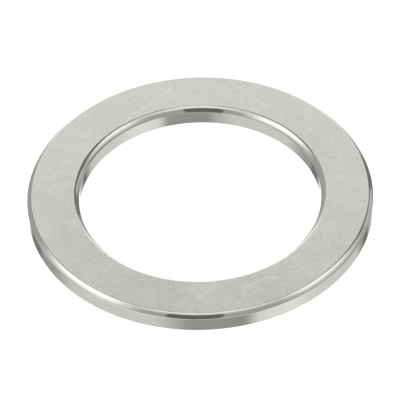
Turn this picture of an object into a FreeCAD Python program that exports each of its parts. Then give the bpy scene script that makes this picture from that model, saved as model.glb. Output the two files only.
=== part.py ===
import FreeCAD, Part

# Housing washer of a single direction thrust ball bearing: one turned, hardened and ground steel
# ring. Its flat back face bears on the housing's shoulder, its outside is guided by the housing,
# its bore clears the shaft, and the balls run in a groove in its other face.
#
# Frame: +Z is the bore's axis. The raceway face lies on z = 0 and looks down, the back face looks
# up, and the origin is on the axis. Sizes are in millimetres.

import math
import os

# Ring
bore_diameter = 42.0  # 1 mm clear of a 40 mm shaft all round
section_width = 9.0  # radial, from the bore to the outside
thickness = 3.6  # from the raceway face to the back face

# Turned corners of the back face. Grinding the faces afterwards leaves their edges crisp.
bore_corner = 0.9  # how far the corner reaches along each face
outer_corner = 0.8
corner_edge_angle = 20.0  # degrees between the rounded corner and each face that it meets

# Chamfers of the raceway face
bore_chamfer = 0.25
outer_chamfer = 0.25

# Ball raceway. With these, two washers and the balls between them stack up to 13 mm.
ball_diameter = 7.144
raceway_conformity = 0.54  # the groove's radius as a share of the ball's diameter
raceway_depth = 0.672
raceway_edge_radius = 0.3  # rounding where the groove meets the raceway face

# What follows from the sizes above
bore_radius = bore_diameter / 2
outer_radius = bore_radius + section_width
pitch_radius = bore_radius + section_width / 2
raceway_radius = raceway_conformity * ball_diameter


def point(radius, height):
    """A point of the section: its distance from the axis and its height over the raceway face."""
    return FreeCAD.Vector(radius, 0, height)


def line(start, end):
    """A straight edge."""
    return Part.LineSegment(start, end).toShape()


def rounded_corner(start, end, outward):
    """An arc from start to end that bulges outward, and meets each face at corner_edge_angle.

    The two faces are square to each other, so the arc turns through what both edge angles leave of
    the right angle. Its end tangents stand at half of that turn to its chord.
    """
    end_tangent = math.radians(90 - 2 * corner_edge_angle) / 2
    chord = end - start
    height = chord.Length / 2 * math.tan(end_tangent / 2)
    bulge = FreeCAD.Vector(outward).normalize() * height
    return Part.Arc(start, start + chord * 0.5 + bulge, end).toShape()


def raceway_edge_rounding(side):
    """The rounding on one side of the groove, as an arc's points from the groove to the raceway face.

    side is -1 towards the bore and 1 towards the outside. The rounding touches the face from above
    and the groove's circle from outside, so its centre follows from both radii.
    """
    groove_centre = point(pitch_radius, raceway_depth - raceway_radius)
    centre_spacing = raceway_radius + raceway_edge_radius
    rise = raceway_edge_radius - groove_centre.z
    offset = math.sqrt(centre_spacing**2 - rise**2)
    centre = point(pitch_radius + side * offset, raceway_edge_radius)
    towards_groove = (groove_centre - centre).normalize()
    towards_face = FreeCAD.Vector(0, 0, -1)
    halfway = (towards_groove + towards_face).normalize()
    return [centre + way * raceway_edge_radius for way in (towards_groove, halfway, towards_face)]


def raceway_edges():
    """The groove's edges from its bore side to its outer side, with its two mouth points."""
    inner_track, inner_middle, inner_mouth = raceway_edge_rounding(side=-1)
    outer_track, outer_middle, outer_mouth = raceway_edge_rounding(side=1)
    edges = [
        Part.Arc(inner_mouth, inner_middle, inner_track).toShape(),
        Part.Arc(inner_track, point(pitch_radius, raceway_depth), outer_track).toShape(),
        Part.Arc(outer_track, outer_middle, outer_mouth).toShape(),
    ]
    return inner_mouth, edges, outer_mouth


def washer_section():
    """The half section as a face, drawn anticlockwise from the bore side of the raceway face."""
    inner_mouth, groove, outer_mouth = raceway_edges()
    raceway_face_inner = point(bore_radius + bore_chamfer, 0)
    raceway_face_outer = point(outer_radius - outer_chamfer, 0)
    rim_bottom = point(outer_radius, outer_chamfer)
    rim_top = point(outer_radius, thickness - outer_corner)
    back_face_outer = point(outer_radius - outer_corner, thickness)
    back_face_inner = point(bore_radius + bore_corner, thickness)
    bore_top = point(bore_radius, thickness - bore_corner)
    bore_bottom = point(bore_radius, bore_chamfer)
    edges = [
        line(raceway_face_inner, inner_mouth),
        *groove,
        line(outer_mouth, raceway_face_outer),
        line(raceway_face_outer, rim_bottom),
        line(rim_bottom, rim_top),
        rounded_corner(rim_top, back_face_outer, outward=(1, 0, 1)),
        line(back_face_outer, back_face_inner),
        rounded_corner(back_face_inner, bore_top, outward=(-1, 0, 1)),
        line(bore_top, bore_bottom),
        line(bore_bottom, raceway_face_inner),
    ]
    return Part.Face(Part.Wire(edges))


def housing_washer():
    """The ring: its section turned once about the bore's axis."""
    axis_point = FreeCAD.Vector(0, 0, 0)
    axis_direction = FreeCAD.Vector(0, 0, 1)
    return washer_section().revolve(axis_point, axis_direction, 360)


def main():
    os.makedirs("parts", exist_ok=True)
    parts = {"housing_washer": housing_washer()}
    for name, shape in parts.items():
        shape.exportStep(f"parts/{name}.step")
        print(f"{name}: {shape.Volume:.1f} mm3, valid {shape.isValid()}, solids {len(shape.Solids)}")


main()
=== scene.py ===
"""Looks of the housing washer of a thrust ball bearing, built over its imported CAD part.

The washer is one ring of bearing steel that lies raceway down on a white light table. The script
reads the ring's sizes from its CAD node, lathes the ring again with its edges broken, gives each
face the finish that its last machining step leaves, and lights it in a small studio.

Lengths are in metres, unless a name ends in _mm. A direction in the studio is an azimuth, clockwise
from +Y as seen from above, and an elevation over the horizon, both in degrees.
"""

from __future__ import annotations

import logging
import math
from dataclasses import dataclass
from enum import Enum

import bpy
from mathutils import Matrix, Vector, noise


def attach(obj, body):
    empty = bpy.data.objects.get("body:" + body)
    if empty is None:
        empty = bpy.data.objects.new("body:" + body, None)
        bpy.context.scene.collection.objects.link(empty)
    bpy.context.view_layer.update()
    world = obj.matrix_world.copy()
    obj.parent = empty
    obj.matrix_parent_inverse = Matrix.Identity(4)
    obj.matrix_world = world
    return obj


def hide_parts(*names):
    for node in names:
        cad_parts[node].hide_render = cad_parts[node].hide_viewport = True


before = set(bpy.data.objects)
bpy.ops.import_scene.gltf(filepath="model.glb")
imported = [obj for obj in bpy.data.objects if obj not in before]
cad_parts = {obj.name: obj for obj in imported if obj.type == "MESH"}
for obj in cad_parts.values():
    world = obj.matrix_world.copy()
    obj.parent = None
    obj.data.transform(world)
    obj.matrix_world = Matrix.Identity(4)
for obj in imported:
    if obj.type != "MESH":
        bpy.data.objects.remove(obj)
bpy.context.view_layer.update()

MM = 0.001
NODE = "housing_washer"
BODY = "root"

log = logging.getLogger("washer")


class Finish(Enum):
    """The finishes of the ring's faces. Their order is the order of the ring's material slots."""

    BACK_FACE = "ground_back_face"
    CORNER = "turned_corner"
    WALL = "ground_wall"
    BORE = "ground_bore"
    EDGE = "burnished_edge"
    RACE_FACE = "ground_race_face"
    RACEWAY = "honed_raceway"


# --------------------------------------------------------------------------------------------------
# Shape
# --------------------------------------------------------------------------------------------------


@dataclass(frozen=True)
class RingSizes:
    """The ring's half section as its CAD node has it, in metres.

    A face is given by the radii where it starts and ends, and a wall by its lower and upper edge.
    """

    bore_radius: float
    outer_radius: float
    thickness: float
    back_face: tuple[float, float]
    bore_wall: tuple[float, float]
    outer_wall: tuple[float, float]
    inner_land: tuple[float, float]
    outer_land: tuple[float, float]
    groove_depth: float

    @classmethod
    def measured(cls, node: bpy.types.Object) -> "RingSizes":
        """Reads the sizes from the corners of the CAD node's mesh.

        Args:
            node: The ring's CAD node, on the Z axis with its raceway face on z = 0.

        Returns:
            The sizes of its half section.
        """
        points = [(math.hypot(v.co.x, v.co.y), v.co.z) for v in node.data.vertices]
        close = 0.02 * MM
        bore = min(radius for radius, _ in points)
        outside = max(radius for radius, _ in points)
        top = max(height for _, height in points)
        back = [radius for radius, height in points if height > top - close]
        bore_wall = [height for radius, height in points if radius < bore + close]
        outer_wall = [height for radius, height in points if radius > outside - close]
        lands = sorted(radius for radius, height in points if height < close)
        gap = max(range(len(lands) - 1), key=lambda i: lands[i + 1] - lands[i])
        mouth = (lands[gap], lands[gap + 1])
        groove = [height for radius, height in points if mouth[0] < radius < mouth[1]]
        return cls(
            bore_radius=bore,
            outer_radius=outside,
            thickness=top,
            back_face=(min(back), max(back)),
            bore_wall=(min(bore_wall), max(bore_wall)),
            outer_wall=(min(outer_wall), max(outer_wall)),
            inner_land=(lands[0], mouth[0]),
            outer_land=(mouth[1], lands[-1]),
            groove_depth=max(height for height in groove if height < top / 2),
        )


@dataclass(frozen=True)
class Span:
    """One stretch of the section's outline: a straight line, or an arc that turns evenly.

    The outline runs anticlockwise, with the steel on its left. turn is the angle in radians that
    the stretch turns to the left: positive on a rounded corner, negative in the groove.
    """

    start: Vector
    end: Vector
    finish: Finish
    turn: float = 0.0

    @property
    def length(self) -> float:
        """The stretch's length along its line or arc."""
        chord = (self.end - self.start).length
        half = abs(self.turn) / 2
        return chord * half / math.sin(half) if half else chord

    def heading(self, share: float) -> float:
        """The direction of travel at a share of the way, as an angle from outward to upward."""
        chord = self.end - self.start
        return math.atan2(chord.y, chord.x) + self.turn * (share - 0.5)

    def at(self, share: float) -> Vector:
        """The point at a share of the way from start to end."""
        if not self.turn:
            return self.start.lerp(self.end, share)
        radius = (self.end - self.start).length / (2 * math.sin(self.turn / 2))
        first, here = self.heading(0), self.heading(share)
        along = Vector((math.sin(here) - math.sin(first), math.cos(first) - math.cos(here)))
        return self.start + along * radius


@dataclass(frozen=True)
class OutlinePoint:
    """A point of the outline, the direction its surface faces, and the finish that follows it."""

    place: Vector
    facing: float
    finish: Finish


@dataclass(frozen=True)
class RingSection:
    """The ring's half section with its sharp edges broken, as an outline for the lathe.

    The back face's corners are turned round, and the grinding wheel leaves an edge at each end of
    them. Tumbling takes those edges off, more here and less there round the ring, and most of all
    round the outside, where rings knock together.

    A corner's turn is the angle that its arc goes through, and edge_unevenness is the share by
    which the broken edges get larger and smaller round the ring. arc_step is the angle from one
    point of an arc to the next, and edge_steps the fewest steps that a broken edge gets.
    """

    sizes: RingSizes
    outer_corner_turn: float = math.radians(44)
    bore_corner_turn: float = math.radians(56)
    edge_radius: float = 0.2 * MM
    outer_wall_edge_radius: float = 0.26 * MM
    bore_wall_edge_radius: float = 0.1 * MM
    mouth_radius: float = 0.3 * MM
    edge_unevenness: float = 0.5
    arc_step: float = math.radians(4)
    edge_steps: int = 3

    def spans(self) -> list[Span]:
        """The outline's stretches, from the bore side of the raceway face and round."""
        s = self.sizes
        half_mouth = (s.outer_land[0] - s.inner_land[1]) / 2
        pitch = (s.outer_land[0] + s.inner_land[1]) / 2
        groove_radius = (half_mouth**2 + s.groove_depth**2) / (2 * s.groove_depth) - self.mouth_radius
        half_track = math.sqrt(groove_radius**2 - (groove_radius - s.groove_depth) ** 2)
        track_turn = -2 * math.asin(half_track / groove_radius)
        corners = [
            ((s.inner_land[0], 0.0), Finish.RACE_FACE, 0.0),
            ((pitch - half_track, 0.0), Finish.RACEWAY, track_turn),
            ((pitch + half_track, 0.0), Finish.RACE_FACE, 0.0),
            ((s.outer_land[1], 0.0), Finish.CORNER, 0.0),
            ((s.outer_radius, s.outer_wall[0]), Finish.WALL, 0.0),
            ((s.outer_radius, s.outer_wall[1]), Finish.CORNER, self.outer_corner_turn),
            ((s.back_face[1], s.thickness), Finish.BACK_FACE, 0.0),
            ((s.back_face[0], s.thickness), Finish.CORNER, self.bore_corner_turn),
            ((s.bore_radius, s.bore_wall[1]), Finish.BORE, 0.0),
            ((s.bore_radius, s.bore_wall[0]), Finish.CORNER, 0.0),
        ]
        ends = corners[1:] + corners[:1]
        return [
            Span(Vector(start), Vector(end[0]), finish, turn)
            for (start, finish, turn), end in zip(corners, ends)
        ]

    def outline(self, wear: float) -> list[OutlinePoint]:
        """The outline's points with every edge rounded.

        Args:
            wear: How much larger the broken edges are here than on average, as a share.

        Returns:
            The points in order, once round the section.
        """
        spans = self.spans()
        count = len(spans)
        radii = [self._edge_radius(spans[i - 1], spans[i], wear) for i in range(count)]
        points: list[OutlinePoint] = []
        for i, span in enumerate(spans):
            before, after = spans[i - 1], spans[(i + 1) % count]
            first = self._trim(before, span, radii[i]) / span.length
            last = 1 - self._trim(span, after, radii[(i + 1) % count]) / span.length
            points += self._edge(before, span, radii[i])
            points += self._stretch(span, first, last)
        return points

    def _edge_radius(self, before: Span, after: Span, wear: float) -> float:
        """The rounding between two stretches: the groove's mouth and both walls have their own."""
        if Finish.RACEWAY in (before.finish, after.finish):
            return self.mouth_radius
        radius = self.edge_radius
        if Finish.WALL in (before.finish, after.finish):
            radius = self.outer_wall_edge_radius
        if Finish.BORE in (before.finish, after.finish):
            radius = self.bore_wall_edge_radius
        return radius * (1 + wear * self.edge_unevenness)

    @staticmethod
    def _bend(before: Span, after: Span) -> float:
        """How far the outline turns to the left from one stretch to the next, in radians."""
        bend = after.heading(0) - before.heading(1)
        return (bend + math.pi) % (2 * math.pi) - math.pi

    def _trim(self, before: Span, after: Span, radius: float) -> float:
        """How much of each stretch the rounding between them takes away."""
        return radius * math.tan(self._bend(before, after) / 2)

    def _edge(self, before: Span, after: Span, radius: float) -> list[OutlinePoint]:
        """The rounding between two stretches, without its last point."""
        bend = self._bend(before, after)
        first = before.heading(1) - math.pi / 2
        middle = first + bend / 2
        inward = Vector((math.cos(middle), math.sin(middle))) * (radius / math.cos(bend / 2))
        centre = after.start - inward
        steps = max(self.edge_steps, round(bend / self.arc_step))
        points = []
        for i in range(steps):
            facing = first + bend * i / steps
            place = centre + Vector((math.cos(facing), math.sin(facing))) * radius
            points.append(OutlinePoint(place, facing, Finish.EDGE))
        return points

    def _stretch(self, span: Span, first: float, last: float) -> list[OutlinePoint]:
        """A stretch between two shares of its way, without its last point if it is straight."""
        steps = max(1, round(abs(span.turn) / self.arc_step))
        shares = [first + (last - first) * i / steps for i in range(steps)]
        return [OutlinePoint(span.at(t), span.heading(t) - math.pi / 2, span.finish) for t in shares]


@dataclass(frozen=True)
class Washer:
    """The ring: its section lathed once round the Z axis, with one material slot per finish.

    wear_waves sets how often the wear of the edges comes and goes round the ring.
    """

    section: RingSection
    steps_round: int = 720
    wear_waves: float = 9.0

    def build(self) -> bpy.types.Object:
        """Lathes the ring and links it to the scene, with no materials yet.

        Returns:
            The ring, with its faces sorted by finish.
        """
        vertices, normals, finishes = [], [], []
        for i in range(self.steps_round):
            angle = 2 * math.pi * i / self.steps_round
            along = Vector((math.cos(angle), math.sin(angle), 0))
            outline = self.section.outline(self._wear(along))
            for point in outline:
                vertices.append(along * point.place.x + Vector((0, 0, point.place.y)))
                facing = Vector((0, 0, math.sin(point.facing)))
                normals.append(along * math.cos(point.facing) + facing)
            finishes = [point.finish for point in outline]
        mesh = bpy.data.meshes.new("washer")
        mesh.from_pydata(vertices, [], self._faces(len(finishes)))
        slots = [list(Finish).index(finish) for finish in finishes] * self.steps_round
        mesh.polygons.foreach_set("material_index", slots)
        mesh.polygons.foreach_set("use_smooth", [True] * len(slots))
        mesh.normals_split_custom_set_from_vertices(normals)
        ring = bpy.data.objects.new("washer", mesh)
        bpy.context.scene.collection.objects.link(ring)
        return ring

    def _wear(self, along: Vector) -> float:
        """How much more than average the edges are worn in one direction, from -1 to 1."""
        return noise.noise(along * self.wear_waves)

    def _faces(self, count: int) -> list[tuple[int, int, int, int]]:
        """The ring's faces, from each outline of count points to the next one round."""
        faces = []
        for i in range(self.steps_round):
            here, there = i * count, (i + 1) % self.steps_round * count
            for j in range(count):
                k = (j + 1) % count
                faces.append((here + j, there + j, there + k, here + k))
        return faces


# --------------------------------------------------------------------------------------------------
# Finishes
# --------------------------------------------------------------------------------------------------


class NodeSheet:
    """Places and links the nodes of one tree, so that a recipe reads from top to bottom."""

    def __init__(self, tree: bpy.types.NodeTree) -> None:
        """Starts a sheet on an empty tree."""
        self.tree = tree

    def add(self, kind: str, inputs: dict | None = None, **settings) -> bpy.types.Node:
        """Adds one node.

        Args:
            kind: Blender's name of the node's type.
            inputs: Values or sockets for the node's inputs, by name or number.
            settings: The node's own settings.

        Returns:
            The new node.
        """
        node = self.tree.nodes.new(kind)
        for name, value in settings.items():
            setattr(node, name, value)
        for key, value in (inputs or {}).items():
            self.feed(node.inputs[key], value)
        return node

    def feed(self, socket: bpy.types.NodeSocket, value) -> None:
        """Links another node's socket to an input, or sets the input to a plain value."""
        if isinstance(value, bpy.types.NodeSocket):
            self.tree.links.new(value, socket)
        else:
            socket.default_value = value

    def math(self, operation: str, *values, clamp: bool = False) -> bpy.types.NodeSocket:
        """The result of a sum on numbers or sockets."""
        inputs = dict(enumerate(values))
        node = self.add("ShaderNodeMath", inputs, operation=operation, use_clamp=clamp)
        return node.outputs[0]

    def vector(self, operation: str, *values) -> bpy.types.NodeSocket:
        """The vector that a sum on vectors gives."""
        node = self.add("ShaderNodeVectorMath", dict(enumerate(values)), operation=operation)
        return node.outputs[0]

    def blend(self, first, second, share: float) -> bpy.types.NodeSocket:
        """Two masks mixed: a share of the first, and the rest of the second."""
        rest = self.math("MULTIPLY", second, 1 - share)
        return self.math("ADD", self.math("MULTIPLY", first, share), rest)

    def scaled(self, vector, factor) -> bpy.types.NodeSocket:
        """A vector or colour times a number."""
        node = self.add("ShaderNodeVectorMath", {0: vector, "Scale": factor}, operation="SCALE")
        return node.outputs[0]

    def mask(self, group: bpy.types.NodeTree, place, values: dict[str, float]) -> bpy.types.NodeSocket:
        """Places a shared group and gives its mask.

        Args:
            group: The group, with an input "Position" and an output "Mask".
            place: The socket or value for its position.
            values: Values for the other inputs that don't keep their defaults.

        Returns:
            The socket of the mask.
        """
        node = self.add("ShaderNodeGroup", {}, node_tree=group)
        self.feed(node.inputs["Position"], place)
        for label, value in values.items():
            self.feed(node.inputs[label], value)
        return node.outputs["Mask"]

    def span(self, value, low: float, high: float, to_low: float, to_high: float) -> bpy.types.NodeSocket:
        """A value mapped smoothly from one range to another, and held at its ends."""
        ends = {"Value": value, "From Min": low, "From Max": high, "To Min": to_low, "To Max": to_high}
        node = self.add("ShaderNodeMapRange", ends, interpolation_type="SMOOTHSTEP")
        return node.outputs["Result"]


def new_group(name: str, inputs: dict[str, float], outputs: tuple[str, ...]) -> tuple:
    """Starts a shader node group.

    Args:
        name: The group's name.
        inputs: Its inputs and their default values; "Position" is a vector, the rest are numbers.
        outputs: Its outputs, all of them numbers.

    Returns:
        The group, a sheet on it, the sockets of its inputs by name, and its output node.
    """
    group = bpy.data.node_groups.new(name, "ShaderNodeTree")
    for label, value in inputs.items():
        kind = "NodeSocketVector" if label == "Position" else "NodeSocketFloat"
        socket = group.interface.new_socket(label, in_out="INPUT", socket_type=kind)
        if kind == "NodeSocketFloat":
            socket.default_value = value
    for label in outputs:
        group.interface.new_socket(label, in_out="OUTPUT", socket_type="NodeSocketFloat")
    sheet = NodeSheet(group)
    sources = sheet.add("NodeGroupInput")
    sink = sheet.add("NodeGroupOutput")
    return group, sheet, {label: sources.outputs[label] for label in inputs}, sink


class Effects:
    """The effects that several finishes share, each a node group that is built once."""

    def __init__(self) -> None:
        """Builds the groups."""
        self.turned = self._turned_place()
        self.grain = self._grain()
        self.lay = self._lay()
        self.clouds = self._clouds()
        self.scratches = self._scratches()
        self.specks = self._specks()

    @staticmethod
    def _turned_place() -> bpy.types.NodeTree:
        """Where a point is on the ring's section, in millimetres: off the axis and up."""
        group, sheet, source, sink = new_group(
            "turned_place", {"Position": 0.0}, ("Radius", "Height")
        )
        parts = sheet.add("ShaderNodeSeparateXYZ", {0: source["Position"]})
        x, y, z = parts.outputs
        flat = sheet.add("ShaderNodeCombineXYZ", {0: x, 1: y})
        length = sheet.add("ShaderNodeVectorMath", {0: flat.outputs[0]}, operation="LENGTH")
        sheet.feed(sink.inputs["Radius"], sheet.math("DIVIDE", length.outputs["Value"], MM))
        sheet.feed(sink.inputs["Height"], sheet.math("DIVIDE", z, MM))
        return group

    @staticmethod
    def _grain() -> bpy.types.NodeTree:
        """Fine even grain, the same in every direction, from 0 to 1 about a half."""
        group, sheet, source, sink = new_group(
            "grain", {"Position": 0.0, "Size mm": 0.2, "Contrast": 1.0}, ("Mask",)
        )
        scale = sheet.math("DIVIDE", 1 / MM, source["Size mm"])
        texture = sheet.add(
            "ShaderNodeTexNoise",
            {"Vector": source["Position"], "Scale": scale, "Detail": 3.0, "Roughness": 0.6},
        )
        centred = sheet.math("SUBTRACT", texture.outputs[0], 0.5)
        spread = sheet.math("MULTIPLY", centred, source["Contrast"])
        sheet.feed(sink.inputs["Mask"], sheet.math("ADD", spread, 0.5, clamp=True))
        return group

    def _lay(self) -> bpy.types.NodeTree:
        """Fine lines round the ring, as a turning tool or a wheel leaves them, from 0 to 1.

        They change slowly along X, so that they don't look the same all the way round.
        """
        group, sheet, source, sink = new_group(
            "lay", {"Position": 0.0, "Pitch mm": 0.05, "Length mm": 6.0}, ("Mask",)
        )
        turned = sheet.add("ShaderNodeGroup", {}, node_tree=self.turned)
        sheet.feed(turned.inputs["Position"], source["Position"])
        radius = sheet.math("DIVIDE", turned.outputs["Radius"], source["Pitch mm"])
        height = sheet.math("DIVIDE", turned.outputs["Height"], source["Pitch mm"])
        sides = sheet.add("ShaderNodeSeparateXYZ", {0: source["Position"]})
        sideways = sheet.math("DIVIDE", sides.outputs[0], MM)
        along = sheet.math("DIVIDE", sideways, source["Length mm"])
        place = sheet.add("ShaderNodeCombineXYZ", {0: radius, 1: height, 2: along})
        texture = sheet.add(
            "ShaderNodeTexNoise", {"Vector": place.outputs[0], "Scale": 1.0, "Detail": 2.0}
        )
        sheet.feed(sink.inputs["Mask"], texture.outputs[0])
        return group

    @staticmethod
    def _clouds() -> bpy.types.NodeTree:
        """Soft patches from 0 to 1, broad ones and small ones, where the ring was wiped."""
        group, sheet, source, sink = new_group(
            "clouds", {"Position": 0.0, "Broad mm": 13.0, "Small mm": 2.4}, ("Mask",)
        )
        darkest, lightest = 0.3, 0.7
        total = 0.0
        for size, share, detail in (("Broad mm", 0.55, 3.0), ("Small mm", 0.45, 2.0)):
            scale = sheet.math("DIVIDE", 1 / MM, source[size])
            texture = sheet.add(
                "ShaderNodeTexNoise",
                {"Vector": source["Position"], "Scale": scale, "Detail": detail, "Distortion": 0.6},
            )
            patches = sheet.span(texture.outputs[0], darkest, lightest, 0.0, share)
            total = sheet.math("ADD", total, patches)
        sheet.feed(sink.inputs["Mask"], total)
        return group

    @staticmethod
    def _scratches() -> bpy.types.NodeTree:
        """A few long curved hairlines from sliding on a bench: 0 beside them and 1 on them."""
        group, sheet, source, sink = new_group(
            "scratches", {"Position": 0.0, "Spacing mm": 16.0, "Width": 0.009}, ("Mask",)
        )
        patches_per_mm = 0.12
        hidden_below, shown_above = 0.5, 0.6
        scale = sheet.math("DIVIDE", 1 / MM, source["Spacing mm"])
        course = sheet.add(
            "ShaderNodeTexNoise", {"Vector": source["Position"], "Scale": scale, "Detail": 0.5}
        )
        off = sheet.math("ABSOLUTE", sheet.math("SUBTRACT", course.outputs[0], 0.5))
        line = sheet.add(
            "ShaderNodeMapRange", {"Value": off, "From Min": source["Width"], "From Max": 0.0}
        )
        patches = sheet.add(
            "ShaderNodeTexNoise",
            {"Vector": source["Position"], "Scale": patches_per_mm / MM, "Detail": 1.0},
        )
        shown = sheet.span(patches.outputs[0], hidden_below, shown_above, 0.0, 1.0)
        sheet.feed(sink.inputs["Mask"], sheet.math("MULTIPLY", line.outputs["Result"], shown))
        return group

    @staticmethod
    def _specks() -> bpy.types.NodeTree:
        """Small scattered specks: 0 beside them and 1 in the middle of them."""
        group, sheet, source, sink = new_group(
            "specks", {"Position": 0.0, "Spacing mm": 2.0, "Size": 0.08, "Share": 0.07}, ("Mask",)
        )
        scale = sheet.math("DIVIDE", 1 / MM, source["Spacing mm"])
        cells = sheet.add("ShaderNodeTexVoronoi", {"Vector": source["Position"], "Scale": scale})
        spot = sheet.add(
            "ShaderNodeMapRange",
            {"Value": cells.outputs["Distance"], "From Min": source["Size"], "From Max": 0.0},
        )
        lot = sheet.add("ShaderNodeSeparateXYZ", {0: cells.outputs["Color"]})
        chosen = sheet.math("LESS_THAN", lot.outputs[0], source["Share"])
        sheet.feed(sink.inputs["Mask"], sheet.math("MULTIPLY", spot.outputs["Result"], chosen))
        return group


STEEL = (0.66, 0.66, 0.645)
EDGE_TINT = (0.8, 0.8, 0.8, 1.0)
GRAIN_CONTRAST = 2.0
GRAIN_IN_COLOUR = 0.6
GRAIN_IN_ROUGHNESS = 0.5
HAIRLINE_GAIN = 1.6
SPECK_LOSS = 1.4


@dataclass(frozen=True)
class SteelFinish:
    """A steel surface: its colour, its gloss, and the size and depth of its grain and lay.

    mottle is how much lighter and darker the colour gets, as a share, roughness_spread how far the
    roughness goes up and down, and marks how strongly hairlines and specks show.
    """

    finish: Finish
    colour: tuple[float, float, float]
    roughness: float
    grain_mm: float
    grain_depth_mm: float
    lay_pitch_mm: float
    lay_depth_mm: float
    mottle: float
    roughness_spread: float
    marks: float = 0.0

    def material(self, effects: Effects) -> bpy.types.Material:
        """Builds the finish as a material.

        Args:
            effects: The shared node groups.

        Returns:
            The new material, named after the finish.
        """
        material = bpy.data.materials.new(self.finish.value)
        material.use_nodes = True
        material.node_tree.nodes.clear()
        sheet = NodeSheet(material.node_tree)
        place = sheet.add("ShaderNodeTexCoord").outputs["Object"]
        grain_values = {"Size mm": self.grain_mm, "Contrast": GRAIN_CONTRAST}
        grain = sheet.mask(effects.grain, place, grain_values)
        lay = sheet.mask(effects.lay, place, {"Pitch mm": self.lay_pitch_mm})
        clouds = sheet.mask(effects.clouds, place, {})
        steel = sheet.add("ShaderNodeBsdfPrincipled", {"Metallic": 1.0, "Specular Tint": EDGE_TINT})
        colour = self._colour(sheet, grain, clouds)
        if self.marks:
            scratches = sheet.mask(effects.scratches, place, {})
            specks = sheet.mask(effects.specks, place, {})
            colour = self._marked(sheet, colour, scratches, specks)
        sheet.feed(steel.inputs["Base Color"], colour)
        sheet.feed(steel.inputs["Roughness"], self._roughness(sheet, grain, clouds))
        sheet.feed(steel.inputs["Normal"], self._relief(sheet, grain, lay))
        sheet.add("ShaderNodeOutputMaterial", {"Surface": steel.outputs[0]})
        return material

    def _colour(self, sheet: NodeSheet, grain, clouds) -> bpy.types.NodeSocket:
        """The steel's colour, a little lighter and darker with its grain and its patches."""
        both = sheet.blend(grain, clouds, GRAIN_IN_COLOUR)
        light = [channel * (1 + self.mottle) for channel in self.colour]
        dark = [channel * (1 - self.mottle) for channel in self.colour]
        mix = sheet.add("ShaderNodeMix", {0: both}, data_type="RGBA")
        sheet.feed(mix.inputs[6], (*dark, 1.0))
        sheet.feed(mix.inputs[7], (*light, 1.0))
        return mix.outputs[2]

    def _marked(self, sheet: NodeSheet, colour, scratches, specks) -> bpy.types.NodeSocket:
        """A colour with bright hairlines and dark specks on it."""
        lines = sheet.math("MULTIPLY", scratches, HAIRLINE_GAIN * self.marks)
        dots = sheet.math("MULTIPLY", specks, SPECK_LOSS * self.marks)
        factor = sheet.math("SUBTRACT", sheet.math("ADD", 1.0, lines), dots)
        return sheet.scaled(colour, factor)

    def _roughness(self, sheet: NodeSheet, grain, clouds) -> bpy.types.NodeSocket:
        """The roughness, which differs from grain to grain and where the steel was wiped."""
        both = sheet.blend(grain, clouds, GRAIN_IN_ROUGHNESS)
        low, high = self.roughness - self.roughness_spread, self.roughness + self.roughness_spread
        return sheet.span(both, 0.0, 1.0, low, high)

    def _relief(self, sheet: NodeSheet, grain, lay) -> bpy.types.NodeSocket:
        """The normal of the grain and the lay together."""
        lines = sheet.math("MULTIPLY", lay, self.lay_depth_mm * MM)
        grains = sheet.math("MULTIPLY", grain, self.grain_depth_mm * MM)
        height = sheet.math("ADD", lines, grains)
        bump = sheet.add("ShaderNodeBump", {"Height": height, "Distance": 1.0, "Strength": 1.0})
        return bump.outputs[0]


FINISHES = (
    # finish, colour, roughness, grain, its depth, lay pitch, its depth, mottle, spread, marks
    SteelFinish(Finish.BACK_FACE, STEEL, 0.31, 0.35, 0.0005, 0.08, 0.0, 0.22, 0.05, 0.07),
    SteelFinish(Finish.CORNER, STEEL, 0.03, 0.25, 0.0003, 0.05, 0.0005, 0.04, 0.015),
    SteelFinish(Finish.WALL, STEEL, 0.07, 0.25, 0.0005, 0.05, 0.0004, 0.1, 0.03),
    SteelFinish(Finish.BORE, STEEL, 0.12, 0.25, 0.0006, 0.05, 0.0005, 0.1, 0.04),
    SteelFinish(Finish.EDGE, STEEL, 0.05, 0.25, 0.0, 0.05, 0.0, 0.02, 0.02),
    SteelFinish(Finish.RACE_FACE, STEEL, 0.3, 0.3, 0.0004, 0.06, 0.0003, 0.08, 0.04),
    SteelFinish(Finish.RACEWAY, STEEL, 0.08, 0.2, 0.0, 0.04, 0.0002, 0.02, 0.02),
)


# --------------------------------------------------------------------------------------------------
# Studio
# --------------------------------------------------------------------------------------------------


@dataclass(frozen=True)
class Panel:
    """A patch of the dome round the table: its middle, its size and how softly it ends.

    All five are in degrees.
    """

    azimuth: float
    elevation: float
    width: float
    height: float
    softness: float


@dataclass(frozen=True)
class Softbox(Panel):
    """A panel that adds light."""

    strength: float
    colour: tuple[float, float, float]


@dataclass(frozen=True)
class Flag(Panel):
    """A dark panel in front of the softboxes. It takes away a share of their light, its depth.

    flare is how fast it gets wider upwards, on each side, in degrees per degree.
    """

    depth: float
    flare: float = 0.0


WHITE = (1.0, 1.0, 1.0, 1.0)
NEUTRAL = (1.0, 1.0, 0.985)
PALE = (1.0, 0.998, 0.965)
WARM = (1.0, 0.99, 0.94)
CREAM = (1.0, 0.97, 0.89)
AMBER = (1.0, 0.93, 0.74)


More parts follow.
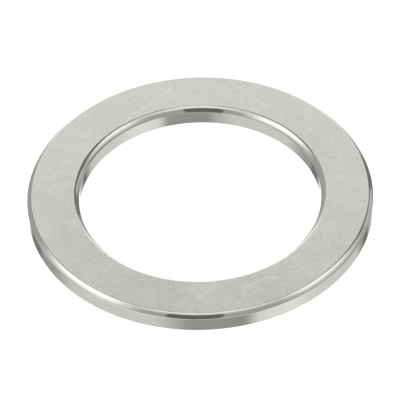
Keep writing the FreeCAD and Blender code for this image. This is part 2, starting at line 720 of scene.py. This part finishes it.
@dataclass(frozen=True)
class Studio:
    """The light table, the tent with its softboxes and flags, and the camera.

    tent is the light of the plain tent between the panels. The table lies a hair under the ring.
    The camera's distance and what it aims at, across and up, are in outer radii of the ring.
    """

    ring: RingSizes
    tent: float = 0.49
    table_radius: float = 1.2
    table_height: float = -0.02 * MM
    table_colour: tuple[float, ...] = (0.8, 0.8, 0.8, 1.0)
    table_roughness: float = 0.9
    table_glow: float = 0.8
    camera_elevation: float = math.radians(44.47)
    camera_roll: float = math.radians(1.71)
    camera_distance: float = 23.39
    camera_aim: tuple[float, float] = (-0.0025, 0.037)
    camera_focal_mm: float = 363.2
    softboxes: tuple[Softbox, ...] = (
        # azimuth, elevation, width, height, softness, strength, colour
        Softbox(0, 5, 50, 145, 20, 0.4, PALE),  # back wall
        Softbox(0, -30, 30, 78, 10, 0.8, NEUTRAL),  # back wall's sweep, under the horizon
        Softbox(0, 24, 44, 44, 8, 0.46, PALE),  # back wall's brighter middle
        Softbox(-88, 48, 55, 29, 8, 0.7, NEUTRAL),  # left key
        Softbox(-105, 29, 55, 42, 30, 0.86, NEUTRAL),  # glow under the left key
        Softbox(93, 47, 44, 26, 18, 0.56, CREAM),  # right fill
        Softbox(97, 30, 55, 42, 36, 0.42, CREAM),  # glow under the right fill
        Softbox(0, 90, 400, 40, 70, 0.64, CREAM),  # ceiling
        Softbox(172, 72, 120, 28, 12, 0.28, AMBER),  # ceiling's front edge
        Softbox(-112, 73, 34, 24, 12, 0.2, NEUTRAL),  # ceiling's left edge
        Softbox(-115, -35, 85, 70, 30, 0.38, WARM),  # left wall, under the horizon
        Softbox(99, -50, 98, 60, 12, 0.41, WARM),  # right wall, under the horizon
        Softbox(124, -50, 36, 40, 24, 0.17, WARM),  # right wall's front half
        Softbox(-158, -24, 96, 22, 8, 1.0, WARM),  # front wall, left of the camera
        Softbox(54, 10, 20, 36, 4, 0.17, PALE),  # strip beside the right gap
    )
    flags: tuple[Flag, ...] = (
        # azimuth, elevation, width, height, softness, depth, flare
        Flag(185.5, 22, 33.2, 72, 3, 0.64, 0.11),  # camera's hood
        Flag(170, -47, 46, 36, 12, 0.15),  # under the camera
        Flag(37.5, -5, 14, 58, 3, 0.5),  # gap right of the back wall
        Flag(37, -50, 10, 40, 3, 0.5),  # the same gap's foot
        Flag(48, 40, 34, 34, 8, 0.55),  # the same gap's top
        Flag(-34, -50, 20, 40, 3, 0.45),  # foot of the gap left of the back wall
        Flag(112, -16, 80, 16, 6, 0.45),  # right wall, at the table's height
        Flag(-118, -16, 78, 14, 6, 0.4),  # left wall, at the table's height
        Flag(0, 63, 112, 32, 6, 0.78),  # gap between the back wall and the ceiling
    )

    def light(self) -> bpy.types.World:
        """Makes the dome: plain white to the camera, and the lit tent to everything else.

        Returns:
            The scene's new world.
        """
        world = bpy.data.worlds.new("studio")
        bpy.context.scene.world = world
        world.use_nodes = True
        world.node_tree.nodes.clear()
        sheet = NodeSheet(world.node_tree)
        group = self._patch_group()
        direction = sheet.add("ShaderNodeTexCoord").outputs["Generated"]
        total = sheet.scaled(PALE, self.tent)
        for softbox in self.softboxes:
            mask = sheet.mask(group, direction, self._shape(softbox))
            glow = sheet.math("MULTIPLY", mask, softbox.strength)
            total = sheet.vector("ADD", total, sheet.scaled(softbox.colour, glow))
        for flag in self.flags:
            shape = {**self._shape(flag), "Flare": flag.flare}
            mask = sheet.mask(group, direction, shape)
            left = sheet.math("SUBTRACT", 1.0, sheet.math("MULTIPLY", mask, flag.depth))
            total = sheet.scaled(total, left)
        lamps = sheet.add("ShaderNodeBackground", {"Color": total})
        plain = sheet.add("ShaderNodeBackground", {"Color": WHITE})
        seen = sheet.add("ShaderNodeLightPath").outputs["Is Camera Ray"]
        both = sheet.add("ShaderNodeMixShader", {0: seen, 1: lamps.outputs[0], 2: plain.outputs[0]})
        sheet.add("ShaderNodeOutputWorld", {"Surface": both.outputs[0]})
        return world

    @staticmethod
    def _shape(panel: Panel) -> dict[str, float]:
        """A panel's place and size, as the patch group's inputs take them."""
        return {
            "Azimuth": math.radians(panel.azimuth),
            "Elevation": math.radians(panel.elevation),
            "Half width": math.radians(panel.width / 2),
            "Half height": math.radians(panel.height / 2),
            "Softness": math.radians(panel.softness / 2),
        }

    @staticmethod
    def _patch_group() -> bpy.types.NodeTree:
        """A soft-edged rectangle on the dome, from 0 outside it to 1 inside it."""
        inputs = dict.fromkeys(("Azimuth", "Elevation", "Half width", "Half height", "Softness"), 0.5)
        group, sheet, source, sink = new_group(
            "dome_patch", {"Position": 0.0, **inputs, "Flare": 0.0}, ("Mask",)
        )
        parts = sheet.add("ShaderNodeSeparateXYZ", {0: source["Position"]})
        x, y, z = parts.outputs
        azimuth = sheet.math("ARCTAN2", x, y)
        elevation = sheet.math("ARCSINE", z)
        off = sheet.math("SUBTRACT", azimuth, source["Azimuth"])
        wrapped = sheet.math("WRAP", off, math.pi, -math.pi)
        across = sheet.math("ABSOLUTE", wrapped)
        above = sheet.math("SUBTRACT", elevation, source["Elevation"])
        up = sheet.math("ABSOLUTE", above)
        wider = sheet.math("MULTIPLY", above, source["Flare"])
        half_width = sheet.math("ADD", source["Half width"], wider)
        sides = []
        for offset, half in ((across, half_width), (up, source["Half height"])):
            outer = sheet.math("ADD", half, source["Softness"])
            inner = sheet.math("SUBTRACT", half, source["Softness"])
            ramp = sheet.add(
                "ShaderNodeMapRange",
                {"Value": offset, "From Min": outer, "From Max": inner},
                interpolation_type="SMOOTHSTEP",
            )
            sides.append(ramp.outputs["Result"])
        sheet.feed(sink.inputs["Mask"], sheet.math("MULTIPLY", *sides))
        return group

    def table(self) -> bpy.types.Object:
        """Makes the light table under the ring. It glows, and the steel doesn't mirror it.

        Returns:
            The table's top.
        """
        mesh = bpy.data.meshes.new("light_table")
        r, z = self.table_radius, self.table_height
        corners = [(-r, -r, z), (r, -r, z), (r, r, z), (-r, r, z)]
        mesh.from_pydata(corners, [], [(0, 1, 2, 3)])
        table = bpy.data.objects.new("light_table", mesh)
        bpy.context.scene.collection.objects.link(table)
        table.visible_glossy = False
        material = bpy.data.materials.new("white_acrylic")
        material.use_nodes = True
        acrylic = material.node_tree.nodes["Principled BSDF"]
        acrylic.inputs["Base Color"].default_value = self.table_colour
        acrylic.inputs["Roughness"].default_value = self.table_roughness
        acrylic.inputs["Specular IOR Level"].default_value = 0.0
        acrylic.inputs["Emission Color"].default_value = WHITE
        acrylic.inputs["Emission Strength"].default_value = self.table_glow
        mesh.materials.append(material)
        return table

    def camera(self) -> bpy.types.Object:
        """Places a long lens well back from the ring, looking down at its back face.

        Returns:
            The scene's camera.
        """
        distance = self.camera_distance * self.ring.outer_radius
        aim_across, aim_up = (share * self.ring.outer_radius for share in self.camera_aim)
        data = bpy.data.cameras.new("camera")
        data.lens = self.camera_focal_mm
        camera = bpy.data.objects.new("camera", data)
        bpy.context.scene.collection.objects.link(camera)
        away = Vector((0, -math.cos(self.camera_elevation), math.sin(self.camera_elevation)))
        upward = Matrix.Rotation(-self.camera_roll, 3, away) @ away.cross(Vector((1, 0, 0)))
        aim = upward.cross(away) * aim_across + upward * aim_up
        back = (away * distance - aim).normalized()
        right = upward.cross(back).normalized()
        axes = Matrix((right, back.cross(right), back)).transposed().to_4x4()
        camera.matrix_world = Matrix.Translation(away * distance) @ axes
        bpy.context.scene.camera = camera
        return camera


# --------------------------------------------------------------------------------------------------
# Scene
# --------------------------------------------------------------------------------------------------


def main() -> None:
    """Builds the ring, dresses it, and sets up the studio round it."""
    logging.basicConfig(level=logging.INFO, format="%(name)s: %(message)s")
    sizes = RingSizes.measured(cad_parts[NODE])
    log.info("sizes read from the CAD node: %s", sizes)
    ring = Washer(RingSection(sizes)).build()
    effects = Effects()
    for finish in FINISHES:
        ring.data.materials.append(finish.material(effects))
    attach(ring, BODY)
    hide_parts(NODE)
    log.info("ring: %d faces, %d finishes", len(ring.data.polygons), len(ring.data.materials))
    studio = Studio(sizes)
    studio.light()
    studio.table()
    studio.camera()
    bpy.context.scene.view_settings.view_transform = "Standard"


if __name__ == "__main__":
    main()
